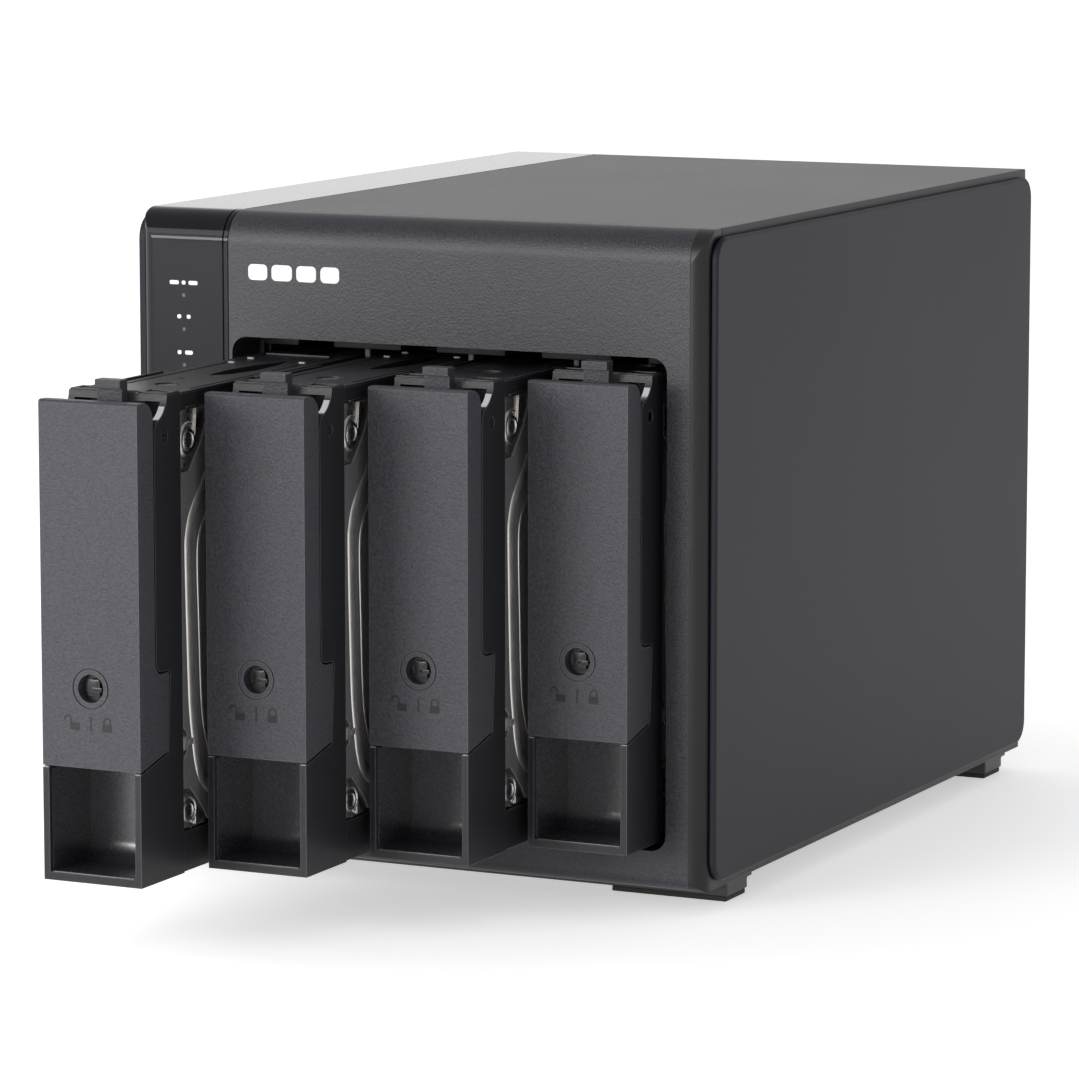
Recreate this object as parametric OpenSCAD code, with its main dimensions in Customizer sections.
// Four-bay desktop network attached storage, drive trays partly drawn out.
// Frame: +X to the right seen from the front, +Y to the back, +Z up,
// origin under the middle of the whole object, on the surface it stands on.

/* [Case] */
// Overall width across both side panels
case_w = 160; // [156:1:168]
// Overall height, feet included
case_h = 168.5; // [166:0.5:176]
// Depth of the case from bezel face to rear edge
case_d = 219.5; // [217:0.5:230]
// Height of the feet below the case
foot_h = 6; // [4:0.5:9]
// Thickness of the side panels
panel_t = 1.75; // [1.5:0.25:2]
// Radius of the curve from the front to the top
crown_r = 8; // [5:1:10]
// Width of the glossy strip down the left of the front
strip_w = 25.3; // [22:0.5:26]

/* [Bays] */
// Distance from one bay to the next
bay_pitch = 29; // [29:0.25:29.5]
// Middle of the four bays, right of the case's middle
bay_mid = 8.1; // [7:0.1:8.5]
// How far tray 1 is drawn out
tray_1_out = 100; // [20:1:120]
// How far tray 2 is drawn out
tray_2_out = 72; // [10:1:100]
// How far tray 3 is drawn out
tray_3_out = 44; // [5:1:90]
// How far tray 4 is drawn out
tray_4_out = 16; // [1:1:80]

/* [Trays] */
// Width of a tray's front
tray_w = 26.6; // [26.2:0.1:26.8]
// Height of a tray's underside above the floor
tray_z = 17.4; // [17.2:0.1:17.6]
// Height of the lever's top edge above the floor
lever_top = 132.2; // [131.8:0.1:132.6]
// Height of the lever's lower edge above the floor
lever_low = 45; // [42:0.5:46]
// Distance of the hinge pin behind the tray's front
pin_y = 13; // [12.5:0.1:13.5]
// Distance of the lock's middle above the floor
lock_z = 64.2; // [60:0.5:66]

/* [Drives] */
// Length of a drive
drive_l = 147; // [146:0.5:147]
// Height of a drive standing on its long side
drive_h = 101.6; // [101:0.1:101.8]
// Thickness of a drive
drive_t = 26.1; // [25:0.1:26.2]

/* [Fan] */
// Outer size of the square fan
fan_size = 120; // [119:0.5:120]
// Number of fan blades
fan_blades = 7; // [5:1:9]

/* [Hidden] */

$fn = 48;
CUT = 1;
tray_out = [tray_1_out, tray_2_out, tray_3_out, tray_4_out];
mid_y = (case_d - max(tray_out)) / 2;

// Case
half_w = case_w / 2;
core_x = half_w - panel_t;
top_z = case_h;
low_z = foot_h;
skin = 2.5;
bezel_d = 9;
rim_r = 4;
toe_r = 3;
crown_steps = 20;
rim_steps = 12;
strip_x = -core_x + strip_w;
seam = 0.25;
bead_w = 1.1;
groove = 0.4;
sheet = 1.5;
cover_t = 2;
rail_y = case_d - 0.5;
rear_y = case_d - 3.5;
panel_y = 2.8;
panel_gap = 2;
top_flange = 11;
base_flange = 9;
standoff_r = 3;
standoff_bore_r = 1.55;
panel_r = 6;

// Bezel opening
open_x0 = bay_mid - 59.9;
open_x1 = bay_mid + 59.9;
open_z0 = 15.6;
open_z1 = 137.2;
open_r = 4;
collar_t = 1.5;
collar_d = 14;

// Drive cage
cage_y0 = 16;
cage_y1 = 178;
leg_t = 1.5;
leg_y = [cage_y0 + 4, cage_y1 - 8];
deck_t = 1.2;
deck_low = tray_z - 0.4;
deck_high = 134.2;
divider_t = 1;
bay_count = 4;
hook_slot_w = 10;
hook_slot_y = 28;

// Tray front assembly, measured from the tray's own front face
grip_d = 20.5;
wall = 1.7;
tray_top = 133;
inner_w = tray_w - 2 * wall;
seam_gap = 0.5;
lever_side_d = 7.5;
lever_deep_d = 14.2;
step_z = 67.1;
lever_skin = 2.6;
pin_z = lever_top - 9;
pin_r = 1.5;
pin_hole_r = 1.55;
hub_r = 3.6;
hook_w = 6.8;
hook_top = 136.4;
shoulder_r = 4.6;
scallop_r = 6.4;
scallop_y = 7.8;
plug_r = 3.35;
plug_hole_r = 3.42;
barrel_r = 5.2;
plug_d = 12.6;
ring_r = 4.9;
plug_front = 2.2;

// Drive in its tray
drive_y = 21.2;
drive_z = 27.2;
drive_end = drive_y + drive_l;
drive_x = drive_t / 2;
cover_d = 1.2;
board_d = 1.4;
rail_w = 25.2;
rail_end = 170;
rail_gap = 0.15;
leaf_y = [58, 108];
leaf = [[0, 0], [3.5, 4], [5.5, 14], [5, 26], [2.5, 38], [-0.5, 26], [-1.5, 14], [-1, 4]];
rail_groove_x = [-9.5, 9.5];
rail_window_y = [52:22:118];
rail_window_l = 14;
side_hole_y = [drive_end - 130.1, drive_end - 28.5];
tongue_end = drive_end + 3.4;

// Back of the cage
socket_y = 170.5;
backplane_y = 178;
board_t = 1.6;
socket_h = 46;
socket_x = [-12.5, -5.1];
contact_slot_x = [-9.95, -7.65];
contact_slot_h = 43.2;
backplane_edge = 16;
vent_x = [-3, 9];
vent_z = [34, 122];
vent_h = 12;

// Air slots of the rear panel: inner radii, width and the spokes across them
slot_inner_r = [14:7:49];
slot_w = 4.6;
spoke_w = 4;

// Screws at the corners of the rear panel, and its security slot
corner_x = 70;
corner_z = [13, 158];
lock_slot = [-40, 156];

// Fan
fan_x = bay_mid;
fan_z = 86;
fan_d = 25;
fan_y = rear_y - fan_d;
fan_bore_r = 57.5;
fan_hole = 52.5;
hub_fan_r = 20;
shaft_r = 1.6;
strut_t = 4;
strut_w = 5;
fan_hole_r = 2.15;
blade_t = 1.6;
blade_l = 30;
blade_tilt = 38;

// Boards and ports along the left side
board_x = -71;
board_y0 = 40;
board_z = [18, 156];
port_y = rear_y + 1.2;
dc_z = 24;
dc_x = board_x + 5.8;
dc_size = [11.4, 11];
dc_l = 13;
dc_bore_r = 3.2;
dc_pin_r = 1;
jack_z = [46, 66];
jack_size = [13.5, 16];
jack_l = 19.5;
jack_bore = [8.5, 12];
usb_z = [86, 101];
usb_size = [7.2, 14.4];
usb_l = 14;
usb_wall = [0.6, 0.9];
usb_bore_l = 9;
reset_x = board_x + 4;
reset_z = 114;
reset_r = 1.8;
switch_z = 140;
switch_x = board_x + 8.5;
rocker_y = port_y - 7.4;
rocker_r = 9.3;
rocker_w = 13.6;
rocker_tip = 7;
port_x = board_x + 6.75;
standoff_y = [46, 190];
standoff_z = [24, 150];
button_x = (strip_x - core_x) / 2;
button_z = 38;
button_r = 6;
led_z = [131.8, 140.9, 149.5];

// Feet
foot_x = 76;
foot_front_y = 19.5;
foot_rear_y = 199;
foot_l = 12.8;
pad_t = 1.4;
pad_l = 31.2;
pad_in = 0.4;

// Two-wire lead from the fan to the header on the main board
lead_r = 1.2;
lead_sides = 8;
lead_end = [board_x + 3, 182, 38];
lead_path = [
    [fan_x - fan_size / 2, 196, 40], [fan_x - fan_size / 2 - 2, 196, 40], [-57, 193, 39],
    [-61, 188, 38], [-65, 183, 38], lead_end
];

// Chips on the main board: [y, z, length, height, thickness]
chips = [[98, 78, 24, 24, 1.8], [70, 80, 14, 12, 1.2], [70, 60, 14, 12, 1.2], [140, 84, 12, 12, 1.4]];
capacitor_y = 60;
capacitor_z = [120, 134];
header_r = [5, 4];
sink_y = 90;
sink_z = 70;
sink_l = 40;
fins = 8;
fin_t = 1.1;

function bay_x(n) = bay_mid + (n - 2.5) * bay_pitch;
function arc(c, r, a0, a1, n = 8) =
    [for (i = [0:n]) c + r * [cos(a0 + (a1 - a0) * i / n), sin(a0 + (a1 - a0) * i / n)]];
function round_rect(x0, y0, x1, y1, r) = concat(
    arc([x1 - r, y0 + r], r, -90, 0),
    arc([x1 - r, y1 - r], r, 0, 90),
    arc([x0 + r, y1 - r], r, 90, 180),
    arc([x0 + r, y0 + r], r, 180, 270)
);

// Case frame: y is measured back from the bezel face
module in_case() {
    translate([0, -mid_y, 0]) children();
}
// Tray frame: x from the bay's middle, y back from the tray's front face
module in_tray(n) {
    translate([bay_x(n), -tray_out[n - 1] - mid_y, 0]) children();
}
// An outline in Y and Z, extruded from x0 to x1
module along_x(x0, x1) {
    translate([x0, 0, 0]) rotate([90, 0, 90]) linear_extrude(x1 - x0) children();
}
// An outline in X and Z, extruded from y0 to y1
module along_y(y0, y1) {
    translate([0, y1, 0]) rotate([90, 0, 0]) linear_extrude(y1 - y0) children();
}
module along_z(z0, z1) {
    translate([0, 0, z0]) linear_extrude(z1 - z0) children();
}
module box(x0, y0, z0, x1, y1, z1) {
    translate([x0, y0, z0]) cube([x1 - x0, y1 - y0, z1 - z0]);
}
module rod_x(x0, x1, y, z, r) {
    translate([x0, y, z]) rotate([0, 90, 0]) cylinder(h = x1 - x0, r = r);
}
module rod_y(x, y0, y1, z, r) {
    translate([x, y1, z]) rotate([90, 0, 0]) cylinder(h = y1 - y0, r = r);
}
module rod_z(x, y, z0, z1, r) {
    translate([x, y, z0]) cylinder(h = z1 - z0, r = r);
}

// ---- Case ----

// Side outline of the front shell: crown curve on top, small curve below
function crown_outline(t, y1) = concat(
    [[y1, low_z + t]],
    arc([toe_r, low_z + toe_r], toe_r - min(t, 2.5), 270, 180),
    arc([crown_r, top_z - crown_r], crown_r - t, 180, 90, crown_steps),
    [[y1, top_z - t]]
);
// Plan outline of the front shell, rounded at its outer edge at x1
function rim_outline(x0, x1, t, y1) = concat(
    [[x0, y1], [x0, t]],
    x1 > x0
        ? arc([x1 - rim_r, rim_r], rim_r - t, 270, 360, rim_steps)
        : arc([x1 + rim_r, rim_r], rim_r - t, 270, 180, rim_steps),
    [[x1 - sign(x1 - x0) * t, y1]]
);
module front_shell(x0, x1, t, y1) {
    intersection() {
        along_x(-half_w, half_w) polygon(crown_outline(t, y1));
        along_z(0, case_h + CUT) polygon(rim_outline(x0, x1, t, y1));
    }
}

module front_bezel() {
    color("#4b4b4f") in_case() difference() {
        union() {
            difference() {
                front_shell(strip_x + seam, core_x, 0, bezel_d);
                front_shell(strip_x + seam + skin, core_x, skin, bezel_d + CUT);
            }
            along_y(skin - 0.5, collar_d) polygon(round_rect(
                strip_x + seam, open_z0 - collar_t,
                open_x1 + collar_t, open_z1 + collar_t, open_r + collar_t));
        }
        along_y(-CUT, collar_d + CUT) polygon(round_rect(open_x0, open_z0, open_x1, open_z1, open_r));
    }
}

module gloss_strip() {
    color("#2e2e32") in_case() difference() {
        union() {
            difference() {
                front_shell(strip_x, -core_x, 0, bezel_d);
                front_shell(strip_x - skin, -core_x, skin, bezel_d + CUT);
                box(strip_x - skin - CUT, skin, low_z + skin, strip_x + CUT, bezel_d + CUT, top_z - 12);
            }
            box(-core_x, bezel_d - 0.5, top_z - cover_t, strip_x, rail_y, top_z);
        }
        rod_y(button_x, -CUT, skin + CUT, button_z, button_r + 0.2);
        difference() {
            box(strip_x - bead_w - groove, -CUT, 0, strip_x - bead_w, bezel_d + CUT, case_h + CUT);
            front_shell(strip_x, -core_x, groove, bezel_d + 2 * CUT);
        }
    }
}

module top_cover() {
    under_strip = top_z - cover_t;
    color("#8c8a90") in_case() along_y(bezel_d + seam, rail_y) polygon([
        [-core_x, top_z - top_flange], [-core_x, under_strip], [strip_x + seam, under_strip],
        [strip_x + seam, top_z], [core_x, top_z], [core_x, top_z - top_flange],
        [core_x - sheet, top_z - top_flange], [core_x - sheet, top_z - sheet],
        [strip_x + seam + sheet, top_z - sheet], [strip_x + seam + sheet, under_strip - sheet],
        [-core_x + sheet, under_strip - sheet], [-core_x + sheet, top_z - top_flange]
    ]);
}

module side_panel() {
    along_x(core_x, half_w) polygon(round_rect(
        panel_y, low_z + panel_gap, case_d, top_z - panel_gap, panel_r));
}
module right_side_panel() {
    color("#4c4b50") in_case() side_panel();
}
// The left panel also carries the standoffs of the main board
module left_side_panel() {
    color("#4c4b50") in_case() {
        mirror([1, 0, 0]) side_panel();
        for (y = standoff_y, z = standoff_z) difference() {
            rod_x(-core_x - 0.5, board_x - board_t, y, z, standoff_r);
            rod_x(-core_x + 1, board_x, y, z, standoff_bore_r);
        }
    }
}

module base_plate() {
    color("#3b3b3e") in_case() along_y(bezel_d, rail_y) polygon([
        [-core_x, low_z + base_flange], [-core_x, low_z], [core_x, low_z], [core_x, low_z + base_flange],
        [core_x - sheet, low_z + base_flange], [core_x - sheet, low_z + sheet],
        [-core_x + sheet, low_z + sheet], [-core_x + sheet, low_z + base_flange]
    ]);
}

// Ring-shaped air slots, bridged by four spokes
module air_slots() {
    for (r = slot_inner_r) {
        difference() {
            circle(r + slot_w);
            circle(r);
            for (a = [45, 135]) rotate(a) square([2 * r + 20, spoke_w], center = true);
        }
    }
}

module rear_openings() {
    translate([fan_x, fan_z]) air_slots();
    for (z = jack_z) translate([port_x, z]) square([13.8, 16.3], center = true);
    for (z = usb_z) translate([board_x + 3.9, z]) square([7.8, 14.8], center = true);
    translate([dc_x, dc_z]) square([11.8, 11.3], center = true);
    translate([switch_x, switch_z]) square([14.6, 17], center = true);
    translate(lock_slot) square([7.2, 3.2], center = true);
    translate([reset_x, reset_z]) circle(2.1);
    for (x = [-1, 1], z = [-1, 1]) translate([fan_x + x * fan_hole, fan_z + z * fan_hole]) circle(2.3);
    for (x = [-corner_x, corner_x], z = corner_z) translate([x, z]) circle(1.7);
}

module rear_panel() {
    inside = core_x - sheet;
    low_edge = low_z + sheet;
    high_edge = top_z - sheet;
    under_step = high_edge - cover_t;
    color("#3b3b3e") in_case() along_y(rear_y, rear_y + sheet) difference() {
        polygon([
            [-inside, low_edge], [inside, low_edge], [inside, high_edge],
            [strip_x + seam + sheet, high_edge], [strip_x + seam + sheet, under_step],
            [-inside, under_step]
        ]);
        rear_openings();
    }
}

module bay_dividers() {
    color("#2a2a2c") in_case() for (i = [0:bay_count]) {
        x = bay_mid + (i - bay_count / 2) * bay_pitch;
        box(x - divider_t / 2, cage_y0, deck_low, x + divider_t / 2, cage_y1, deck_high);
    }
}

module cage_decks() {
    x0 = bay_mid - bay_count / 2 * bay_pitch - divider_t / 2;
    x1 = bay_mid + bay_count / 2 * bay_pitch + divider_t / 2;
    color("#2a2a2c") in_case() {
        box(x0, cage_y0, deck_low - deck_t, x1, cage_y1, deck_low);
        for (y = leg_y) {
            box(x0, y, low_z + sheet, x1, y + leg_t, deck_low - deck_t + 0.5);
        }
        difference() {
            box(x0, cage_y0, deck_high, x1, cage_y1, deck_high + deck_t);
            for (n = [1:bay_count]) {
                box(bay_x(n) - hook_slot_w / 2, cage_y0 - CUT, deck_high - CUT,
                    bay_x(n) + hook_slot_w / 2, hook_slot_y, deck_high + deck_t + CUT);
            }
        }
    }
}

module backplane_board() {
    color("#1f5a35") in_case() difference() {
        box(bay_x(1) - backplane_edge, backplane_y, deck_low,
            bay_x(4) + backplane_edge, backplane_y + board_t, deck_high);
        for (n = [1:bay_count], z = vent_z) {
            box(bay_x(n) + vent_x[0], backplane_y - CUT, z - vent_h / 2,
                bay_x(n) + vent_x[1], backplane_y + board_t + CUT, z + vent_h / 2);
        }
    }
}

module drive_sockets() {
    mid = drive_z + drive_h / 2;
    color("#18181a") in_case() for (n = [1:bay_count]) {
        translate([bay_x(n), 0, mid]) difference() {
            box(socket_x[0], socket_y, -socket_h / 2, socket_x[1], backplane_y, socket_h / 2);
            box(contact_slot_x[0], socket_y - CUT, -contact_slot_h / 2,
                contact_slot_x[1], backplane_y - 2, contact_slot_h / 2);
        }
    }
}

// ---- Electronics along the left side ----

module main_board() {
    color("#1f5a35") in_case() difference() {
        box(board_x - board_t, board_y0, board_z[0], board_x, rear_y - 0.5, board_z[1]);
        for (y = standoff_y, z = standoff_z) rod_x(board_x - 3, board_x + 1, y, z, 1.6);
    }
}

module board_chips() {
    color("#202022") in_case() {
        for (c = chips) box(board_x, c[0], c[1], board_x + c[4], c[0] + c[2], c[1] + c[3]);
        box(board_x, lead_end[1] - header_r[0], lead_end[2] - header_r[1],
            lead_end[0], lead_end[1] + header_r[0], lead_end[2] + header_r[1]);
        for (z = capacitor_z) rod_x(board_x, board_x + 9, capacitor_y, z, 4);
    }
}

module heatsink() {
    x0 = board_x + chips[0][4];
    foot = x0 + 2.5;
    color("#a7a9ac") in_case() {
        box(x0, sink_y, sink_z, foot, sink_y + sink_l, sink_z + sink_l);
        for (i = [0:fins - 1]) {
            y = sink_y + i * (sink_l - fin_t) / (fins - 1);
            box(foot, y, sink_z, x0 + 12, y + fin_t, sink_z + sink_l);
        }
    }
}

module indicator_board() {
    color("#1f5a35") in_case() {
        box(-core_x + 1.25, bezel_d, 22, strip_x - 1.25, bezel_d + board_t, 157);
        for (z = led_z) box(button_x - 1.2, bezel_d - 1.5, z - 1.2, button_x + 1.2, bezel_d, z + 1.2);
    }
}

module ethernet_jacks() {
    color("#b9bbbe") in_case() for (z = jack_z) {
        translate([board_x, 0, z]) difference() {
            box(0, rear_y - jack_l, -jack_size[1] / 2, jack_size[0], port_y, jack_size[1] / 2);
            box(2, rear_y - 13, -jack_bore[1] / 2, 2 + jack_bore[0], port_y + CUT, jack_bore[1] / 2);
        }
    }
}

module usb_ports() {
    half = usb_size[1] / 2;
    bore_y = rear_y - usb_bore_l;
    color("#b9bbbe") in_case() for (z = usb_z) translate([board_x + 0.2, 0, z]) {
        difference() {
            box(0, rear_y - usb_l, -half, usb_size[0], port_y, half);
            box(usb_wall[0], bore_y, usb_wall[1] - half,
                usb_size[0] - usb_wall[0], port_y + CUT, half - usb_wall[1]);
        }
        box(0.7, bore_y, -5.6, 1.9, port_y - 1, 5.6);
    }
}

module dc_jack() {
    half = dc_size / 2;
    bore_y = rear_y - 9;
    color("#161618") in_case() translate([dc_x, 0, dc_z]) {
        difference() {
            box(-half[0], rear_y - dc_l, -half[1], half[0], port_y, half[1]);
            rod_y(0, bore_y, port_y + CUT, 0, dc_bore_r);
        }
        rod_y(0, bore_y, port_y - 1.5, 0, dc_pin_r);
    }
}

module power_button() {
    color("#2e2e32") in_case() {
        rod_y(button_x, 0.4, skin + 0.8, button_z, button_r);
        rod_y(button_x, skin + 0.8, bezel_d - 1.2, button_z, 2);
    }
}

module reset_button() {
    color("#d8d8d8") in_case() rod_y(reset_x, rear_y - 6, port_y, reset_z, reset_r);
}

// Rocker of the mains switch, tipped to its off side
module power_switch() {
    color("#161618") in_case() translate([0, rocker_y, switch_z]) rotate([-rocker_tip, 0, 0])
        along_x(switch_x - rocker_w / 2, switch_x + rocker_w / 2)
            polygon(concat([[-3, -4], [0, -7.5]], arc([0, 0], rocker_r, -50, 50, 12), [[0, 7.5], [-3, 4]]));
    color("#161618") in_case() rod_x(switch_x - 7.6, switch_x + 7.6, rocker_y, switch_z, 1.4);
}

// ---- Fan ----

module fan_frame() {
    s = fan_size / 2;
    color("#232326") in_case() translate([fan_x, 0, fan_z]) {
        difference() {
            box(-s, fan_y, -s, s, rear_y, s);
            rod_y(0, fan_y - CUT, rear_y + CUT, 0, fan_bore_r);
            for (x = [-fan_hole, fan_hole], z = [-fan_hole, fan_hole]) {
                rod_y(x, fan_y - CUT, rear_y + CUT, z, fan_hole_r);
            }
        }
        difference() {
            union() {
                rod_y(0, rear_y - strut_t, rear_y, 0, hub_fan_r);
                for (a = [0:90:270]) rotate([0, a, 0]) {
                    box(hub_fan_r - 1, rear_y - strut_t, -strut_w / 2, fan_bore_r + 0.5, rear_y, strut_w / 2);
                }
            }
            rod_y(0, rear_y - strut_t - CUT, rear_y + CUT, 0, shaft_r + 0.05);
        }
    }
}

module fan_rotor() {
    color("#2b2b2f") in_case() translate([fan_x, 0, fan_z]) {
        rod_y(0, fan_y + 2, rear_y - 5, 0, hub_fan_r);
        rod_y(0, rear_y - 5, rear_y - 1, 0, shaft_r);
        intersection() {
            rod_y(0, fan_y + 1, rear_y - 5, 0, fan_bore_r - 1.5);
            for (i = [0:fan_blades - 1]) rotate([0, i * 360 / fan_blades, 0])
                translate([0, fan_y + 11, 0]) rotate([blade_tilt, 0, 0])
                    box(hub_fan_r - 3, -blade_t / 2, -blade_l / 2, fan_bore_r, blade_t / 2, blade_l / 2);
        }
    }
}

function lead_dir(i) =
    let (a = lead_path[max(i - 1, 0)], b = lead_path[min(i + 1, len(lead_path) - 1)])
    i == 0 || i == len(lead_path) - 1 ? [-1, 0, 0] : (b - a) / norm(b - a);
function lead_ring(i) =
    let (d = lead_dir(i), u = [0, 1, 0], v = cross(d, u), step = 360 / lead_sides)
    [for (k = [0:lead_sides - 1]) lead_path[i] + lead_r * (cos(k * step) * u + sin(k * step) * v)];
module fan_lead() {
    n = lead_sides;
    rings = len(lead_path);
    points = [for (i = [0:rings - 1]) each lead_ring(i)];
    sides = [for (i = [0:rings - 2], k = [0:n - 1])
        [i * n + k, i * n + (k + 1) % n, (i + 1) * n + (k + 1) % n, (i + 1) * n + k]];
    ends = [[for (k = [n - 1:-1:0]) k], [for (k = [0:n - 1]) (rings - 1) * n + k]];
    color("#1c1c1e") in_case() polyhedron(points, concat(sides, ends), 10);
}

// ---- Feet and fasteners ----

module foot_bar(y) {
    box(-foot_x, y, pad_t, foot_x, y + foot_l, low_z);
    box(-foot_x, y, low_z - 2, foot_x, y + foot_l + 3, low_z);
}
module front_foot_bar() {
    color("#202022") in_case() foot_bar(foot_front_y);
}
module rear_foot_bar() {
    color("#202022") in_case() foot_bar(foot_rear_y);
}
module foot_pads() {
    color("#101010") in_case() for (y = [foot_front_y, foot_rear_y], side = [-1, 1]) {
        x = side * (foot_x - 16);
        box(x - pad_l / 2, y + pad_in, 0, x + pad_l / 2, y + foot_l - pad_in, pad_t);
    }
}

module case_screw(x, z, r, length) {
    rod_y(x, rear_y + sheet - length, rear_y + sheet, z, r);
    difference() {
        rod_y(x, rear_y + sheet, rear_y + sheet + 1.6, z, r + 1.7);
        box(x - 0.5, rear_y + sheet + 0.8, z - 2, x + 0.5, case_d, z + 2);
        box(x - 2, rear_y + sheet + 0.8, z - 0.5, x + 2, case_d, z + 0.5);
    }
}
module case_screws() {
    color("#8f9194") in_case() {
        for (x = [-1, 1], z = [-1, 1]) case_screw(fan_x + x * fan_hole, fan_z + z * fan_hole, 2.1, 10);
        for (x = [-corner_x, corner_x], z = corner_z) case_screw(x, z, 1.5, 5);
    }
    color("#8f9194") in_case() for (y = standoff_y, z = standoff_z) {
        rod_x(board_x - 5, board_x, y, z, 1.5);
        rod_x(board_x, board_x + 1.6, y, z, 2.8);
    }
}

// ---- Tray front: base and lever share a seam, offset from each other ----

// Seam between lever and base from the slope at the foot up to the shoulder.
// gap is 0 on the lever's side and seam_gap on the base's side.
function seam_line(gap) = concat(
    [[0, lever_low - gap], [lever_deep_d - 1 + gap * 0.3, lever_low + 3.2 - gap]],
    arc([lever_deep_d - 1, step_z - 1], 1 + gap, 0, 90, 4),
    arc([lever_side_d + 3.1, step_z + 3.1], 3.1 - gap, 270, 180, 6)
);

module base_side() {
    difference() {
        polygon(concat(
            [[0, tray_z], [grip_d, tray_z], [grip_d, tray_top], [lever_side_d + seam_gap, tray_top]],
            [for (i = [len(seam_line(seam_gap)) - 1:-1:0]) seam_line(seam_gap)[i]]
        ));
        translate([scallop_y, tray_top + 0.2]) circle(scallop_r);
        difference() {
            translate([lever_side_d - 1, pin_z]) square([2.4, 5]);
            translate([pin_y, pin_z]) circle(5.2);
        }
    }
}

module lever_side() {
    polygon(concat(
        seam_line(0),
        arc([lever_side_d - shoulder_r, lever_top - shoulder_r], shoulder_r, 0, 90),
        [[0.5, lever_top], [0, lever_top - 0.5]]
    ));
}

// Rail above the drive, with leaf-shaped openings and two shallow grooves along it
module top_rail() {
    z0 = drive_z + drive_h + rail_gap;
    z1 = tray_top - 0.6;
    difference() {
        box(-rail_w / 2, grip_d - 1, z0, rail_w / 2, rail_end, z1);
        for (y = leaf_y) translate([0, y, 0]) along_z(z0 - CUT, z1 + CUT) polygon(leaf);
        for (x = rail_groove_x) box(x - 0.5, 32, z1 - 0.6, x + 0.5, rail_end - 8, z1 + CUT);
        for (y = side_hole_y) {
            rod_z(0, y, z0 - CUT, tray_top, 1.8);
            rod_z(0, y, tray_top - 2, tray_top, 3.2);
        }
    }
}

// Hollow rail under the drive
module bottom_rail() {
    z1 = drive_z - 0.1;
    difference() {
        box(-rail_w / 2, grip_d - 1, tray_z, rail_w / 2, rail_end, z1);
        box(-rail_w / 2 + 2, grip_d + 2, tray_z + 2, rail_w / 2 - 2, rail_end + CUT, z1 - 2);
        for (y = side_hole_y) {
            rod_z(0, y, tray_z - CUT, z1 + CUT, 1.8);
            rod_z(0, y, tray_z - CUT, z1 - 2.2, 3.2);
        }
        for (y = rail_window_y) {
            box(-rail_w / 2 - CUT, y, tray_z + 3, rail_w / 2 + CUT, y + rail_window_l, z1 - 3);
        }
    }
}

module tray() {
    half = tray_w / 2;
    difference() {
        union() {
            difference() {
                along_x(-half, half) base_side();
                difference() {
                    box(-inner_w / 2, -CUT, tray_z + 2, inner_w / 2, grip_d - wall, tray_top - wall);
                    along_x(-half, half) polygon(concat(
                        [[grip_d, tray_z], [grip_d - wall - 5, tray_z]],
                        [[grip_d - wall - 5, tray_z + 2]],
                        arc([grip_d - wall - 5, tray_z + 7], 5, 270, 360, 6),
                        [[grip_d, tray_z + 7]]
                    ));
                }
            }
            top_rail();
            bottom_rail();
        }
        rod_x(-half - CUT, half + CUT, pin_y, pin_z, pin_r + 0.02);
        box(-4.7, pin_y - 1, tray_top - 5, 4.7, grip_d + 2.5, tray_top + CUT);
    }
}

module lever() {
    half = tray_w / 2;
    difference() {
        union() {
            difference() {
                along_x(-half, half) lever_side();
                box(-half + wall - 0.2, lever_skin, lever_low - CUT, half - wall + 0.2, 20, lever_top - wall);
            }
            for (side = [-1, 1]) {
                x = side * (inner_w / 2 - 1.4);
                box(x - 1.1, lever_skin - 0.2, pin_z - 3.4, x + 1.1, pin_y, pin_z + 3.4);
            }
            rod_x(-inner_w / 2 + 0.3, inner_w / 2 - 0.3, pin_y, pin_z, hub_r);
            box(-hook_w / 2, pin_y - 2.6, pin_z, hook_w / 2, pin_y, hook_top);
            box(-hook_w / 2, pin_y - 3.6, hook_top - 2, hook_w / 2, pin_y, hook_top);
            rod_y(0, lever_skin - 0.2, plug_d, lock_z, barrel_r);
        }
        rod_x(-half, half, pin_y, pin_z, pin_hole_r);
        rod_y(0, -CUT, plug_d + CUT, lock_z, plug_hole_r);
        difference() {
            rod_y(0, -CUT, groove, lock_z, ring_r);
            rod_y(0, -2 * CUT, 1, lock_z, ring_r - 0.3);
        }
    }
}

module hinge_pin() {
    rod_x(-tray_w / 2 + 0.1, tray_w / 2 - 0.1, pin_y, pin_z, pin_r);
}

// Key plug with its slot, and the cam on its inner end
module lock() {
    difference() {
        rod_y(0, plug_front, plug_d + 0.6, lock_z, plug_r);
        box(-0.6, plug_front - CUT, lock_z - 2.2, 0.6, plug_front + 2, lock_z + 2.2);
    }
    box(-2.6, plug_d + 0.6, lock_z - 2.6, 7.6, plug_d + 2.4, lock_z + 2.6);
}

module drive_body() {
    x0 = -drive_x + board_d;
    x1 = drive_x - cover_d;
    difference() {
        along_x(x0, x1) polygon(round_rect(drive_y, drive_z, drive_end, drive_z + drive_h, 2));
        for (y = side_hole_y) {
            rod_z(0, y, drive_z - CUT, drive_z + 4.2, 1.5);
            rod_z(0, y, drive_z + drive_h - 4.2, drive_z + drive_h + CUT, 1.5);
        }
        box(x0 - CUT, drive_end - 4, drive_z + 28, x0 + 4.5, drive_end + CUT, drive_z + 74);
        for (y = [drive_y - CUT, drive_y + 71], z = [drive_z - CUT, drive_z + drive_h - 3]) {
            box(x1 - 3, y, z, x1 + CUT, y + 6, z + 3 + CUT);
        }
    }
}

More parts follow.
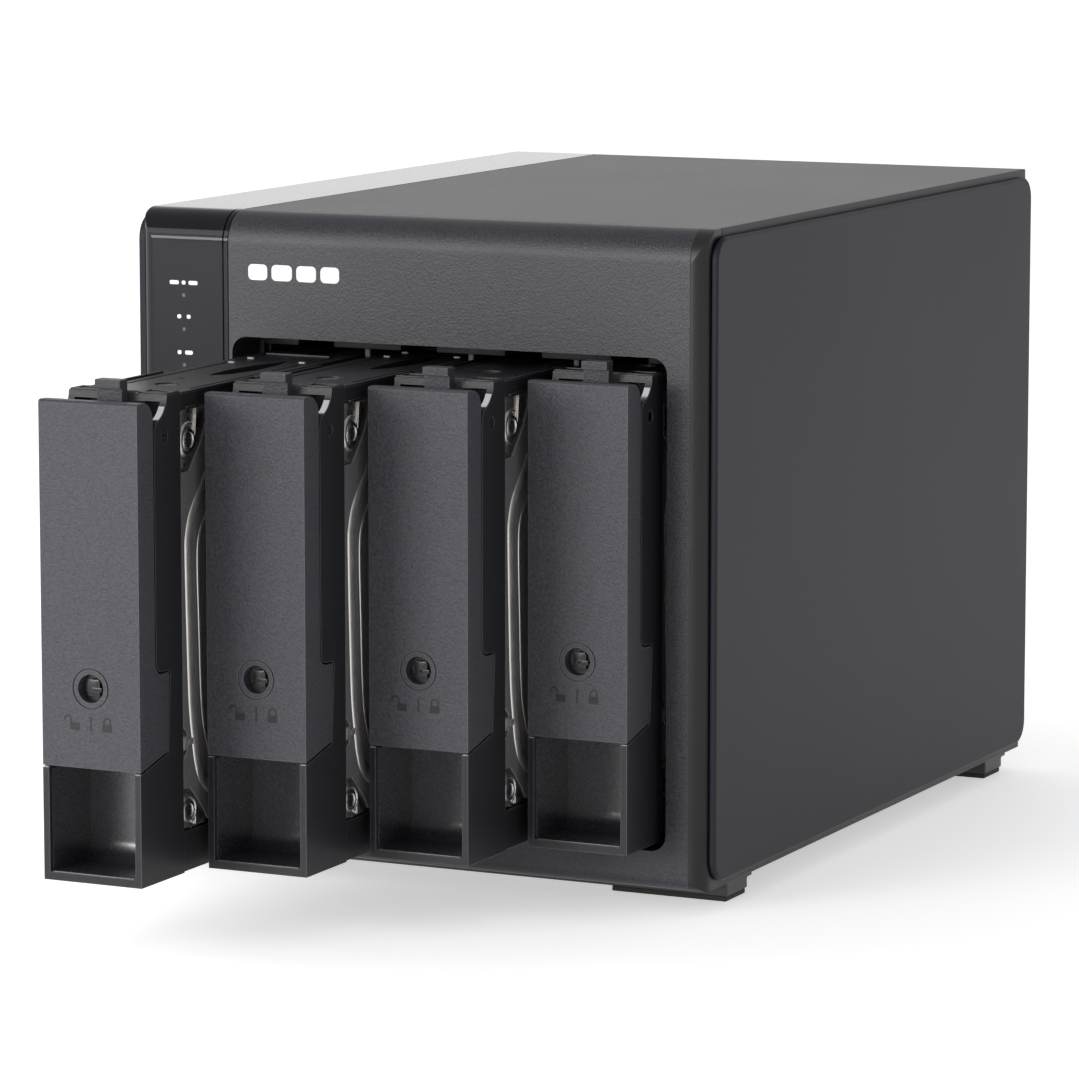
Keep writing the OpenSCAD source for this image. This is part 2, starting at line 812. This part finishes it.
// Stamped cover with its raised field, spindle boss and corner screws
module drive_cover() {
    x0 = drive_x - cover_d;
    edge = 2.2;
    along_x(x0, drive_x - 0.5) polygon(round_rect(
        drive_y + 1.2, drive_z + edge, drive_end - 1.2, drive_z + drive_h - edge, 5));
    along_x(drive_x - 0.5, drive_x) polygon(round_rect(
        drive_y + 10, drive_z + 8, drive_end - 14, drive_z + drive_h - 8, 12));
    for (y = [drive_y + 5, drive_end - 6], z = [drive_z + 6.2, drive_z + drive_h - 6.2]) {
        rod_x(drive_x - 0.5, drive_x, y, z, 2.4);
    }
}

module drive_board() {
    x0 = -drive_x;
    mid = drive_z + drive_h / 2;
    box(x0 + 0.2, drive_y + 52, drive_z + 6, x0 + board_d, drive_end - 0.2, drive_z + drive_h - 6);
    box(x0, drive_y + 74, mid - 9, x0 + 0.2, drive_y + 92, mid + 9);
    box(x0 + board_d, drive_end - 3.4, mid - 21.6, x0 + 5.4, drive_end - 0.4, mid + 21.6);
    box(x0 + 3.65, drive_end - 0.4, mid - 21, x0 + 4.85, tongue_end, mid + 21);
}

module tray_screws() {
    for (y = side_hole_y) {
        rod_z(0, y, tray_top - 1.9, tray_top - 0.9, 2.9);
        rod_z(0, y, drive_z + drive_h - 4, tray_top - 1.9, 1.4);
        rod_z(0, y, drive_z - 3.3, drive_z - 2.3, 2.9);
        rod_z(0, y, drive_z - 2.3, drive_z + 4, 1.4);
    }
}

module tray_node(n) {
    color("#3f3f43") in_tray(n) tray();
}
module lever_node(n) {
    color("#58585d") in_tray(n) lever();
}
module hinge_pin_node(n) {
    color("#b4b6b9") in_tray(n) hinge_pin();
}
module lock_node(n) {
    color("#1c1c1e") in_tray(n) lock();
}
module drive_body_node(n) {
    color("#8d9094") in_tray(n) drive_body();
}
module drive_cover_node(n) {
    color("#4c4b4e") in_tray(n) drive_cover();
}
module drive_board_node(n) {
    color("#1f5a35") in_tray(n) drive_board();
}
module tray_screws_node(n) {
    color("#b4b6b9") in_tray(n) tray_screws();
}

front_bezel();
gloss_strip();
top_cover();
right_side_panel();
left_side_panel();
base_plate();
rear_panel();
bay_dividers();
cage_decks();
backplane_board();
drive_sockets();
main_board();
board_chips();
heatsink();
indicator_board();
fan_frame();
fan_rotor();
fan_lead();
ethernet_jacks();
usb_ports();
dc_jack();
power_button();
reset_button();
power_switch();
front_foot_bar();
rear_foot_bar();
foot_pads();
case_screws();
for (n = [1:bay_count]) {
    tray_node(n);
    lever_node(n);
    hinge_pin_node(n);
    lock_node(n);
    drive_body_node(n);
    drive_cover_node(n);
    drive_board_node(n);
    tray_screws_node(n);
}
